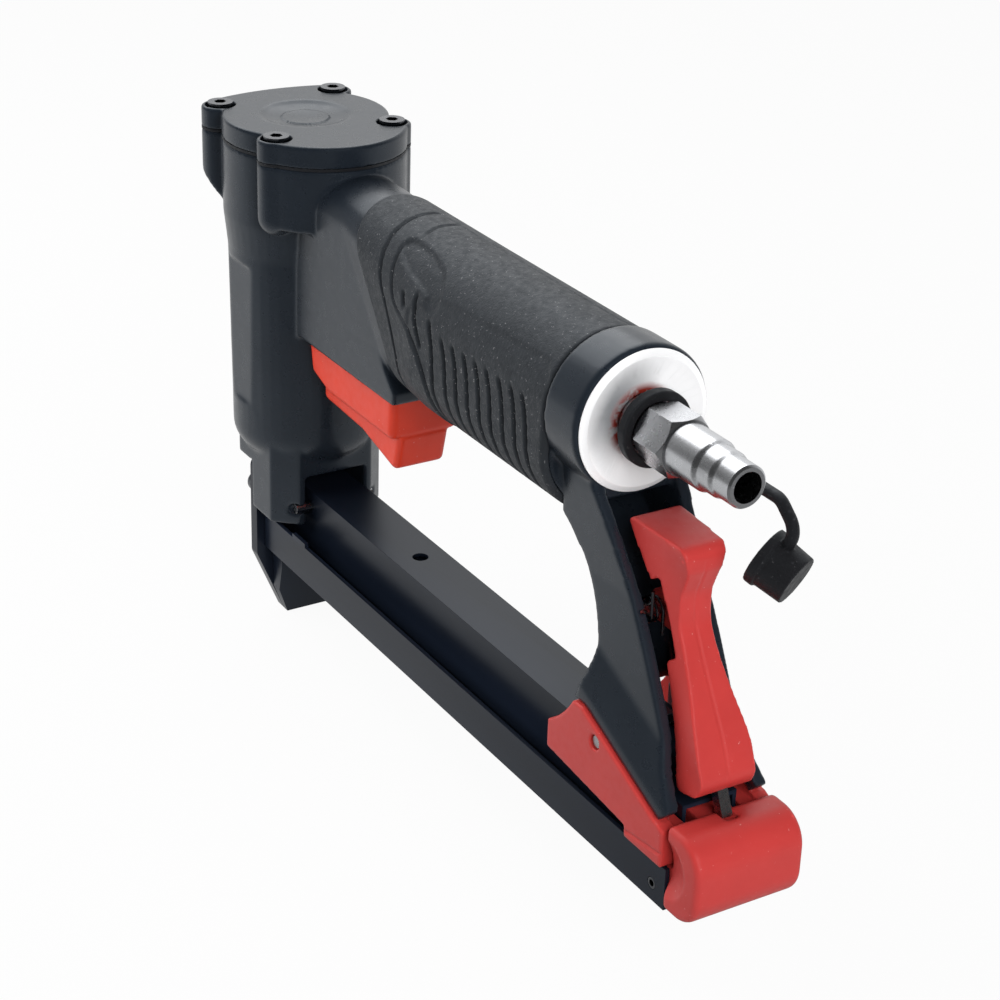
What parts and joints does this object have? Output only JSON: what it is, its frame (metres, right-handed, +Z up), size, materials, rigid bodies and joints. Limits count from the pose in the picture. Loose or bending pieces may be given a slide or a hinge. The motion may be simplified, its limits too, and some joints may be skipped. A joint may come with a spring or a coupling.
{
  "type": "pneumatic stapler",
  "caption": "Compressed-air stapler for fine crown staples: barrel with driver, rubber-sleeved handle, trigger, rear-loading magazine with sprung pusher and latch lever, and air plug.",
  "frame": {"origin": "the driver's exit in the nose face, on the axis of the barrel", "axes": "+X to the rear along the handle and the magazine, +Y to the tool's right, +Z up along the barrel"},
  "size_m": [0.2456, 0.046, 0.1538],
  "materials": {
    "casting": "satin charcoal coat",
    "black_steel": "black oxide",
    "black_sheet": "satin black",
    "bright_steel": "ground",
    "spring_steel": "drawn wire",
    "turned_aluminium": "turned",
    "plated_steel": "bright plated",
    "brass": "turned",
    "red_plastic": "satin moulded",
    "white_plastic": "moulded",
    "grip_rubber": "grained",
    "black_rubber": "moulded",
    "amber_rubber": "moulded"
  },
  "bodies": {
    "base": {"main_body": "casting", "cylinder_cap": "casting", "cap_gasket": "black_rubber", "cap_screws": "black_steel", "cylinder_sleeve": "turned_aluminium", "bumper": "amber_rubber", "head_valve_spring": "spring_steel", "front_plate": "black_sheet", "plate_screws": "black_steel", "nose_guide": "black_sheet", "guide_screws": "black_steel", "fixed_magazine": "black_sheet", "magazine_dowels": "bright_steel", "rear_bracket": "red_plastic", "bracket_pin": "bright_steel", "latch_pin": "bright_steel", "latch_spring": "spring_steel", "trigger_pin": "bright_steel", "trigger_valve": "brass", "valve_spring": "spring_steel", "grip_sleeve": "grip_rubber", "inlet_end_cap": "turned_aluminium", "inlet_ring": "black_rubber", "air_plug": "plated_steel"},
    "driver": {"piston": "turned_aluminium", "piston_ring": "black_rubber", "driver_blade": "bright_steel"},
    "head_valve": {"head_valve": "white_plastic"},
    "trigger": {"trigger": "red_plastic"},
    "valve_stem": {"valve_stem": "brass"},
    "magazine": {"magazine_channel": "black_sheet", "staple_core": "black_sheet", "pusher_rod": "bright_steel", "pusher_spring": "spring_steel", "magazine_end_cap": "red_plastic", "roll_pin": "black_steel"},
    "pusher": {"pusher": "bright_steel"},
    "latch": {"latch_lever": "red_plastic", "hook_leaves": "bright_steel"},
    "dust_cap": {"dust_cap": "black_rubber"}
  },
  "joints": [
    {"name": "driver_stroke", "type": "slide", "parent": "base", "child": "driver", "axis": [0, 0, -1], "range_m": [0, 0.0468]},
    {"name": "head_valve_lift", "type": "slide", "parent": "base", "child": "head_valve", "axis": [0, 0, 1], "range_m": [0, 0.0025], "stiffness_N_per_m": 2000, "springref_m": -0.003, "deforming": ["head_valve_spring"]},
    {"name": "trigger_pull", "type": "hinge", "parent": "base", "child": "trigger", "pos_m": [0.0275, 0, 0.0916], "axis": [0, -1, 0], "range_deg": [0, 7], "stiffness_Nm_per_rad": 0.6, "springref_deg": -6.88},
    {"name": "stem_travel", "type": "slide", "parent": "base", "child": "valve_stem", "axis": [0, 0, 1], "range_m": [0, 0.0031], "deforming": ["valve_spring"]},
    {"name": "magazine_slide", "type": "slide", "parent": "base", "child": "magazine", "axis": [1, 0, 0], "range_m": [0, 0.13]},
    {"name": "pusher_slide", "type": "slide", "parent": "magazine", "child": "pusher", "axis": [1, 0, 0], "range_m": [0, 0.11], "stiffness_N_per_m": 25, "springref_m": -0.12, "deforming": ["pusher_spring"]},
    {"name": "latch_squeeze", "type": "hinge", "parent": "base", "child": "latch", "pos_m": [0.1824, 0, 0.0873], "axis": [0, 1, 0], "range_deg": [-12, 0], "stiffness_Nm_per_rad": 0.3, "springref_deg": 14.32},
    {"name": "dust_cap_turn", "type": "hinge", "parent": "base", "child": "dust_cap", "pos_m": [0.1724, 0, 0.127], "axis": [1, 0, 0], "continuous": true}
  ],
  "couplings": [
    {"joint": "stem_travel", "follows": "trigger_pull", "m_per_rad": 0.0245}
  ]
}
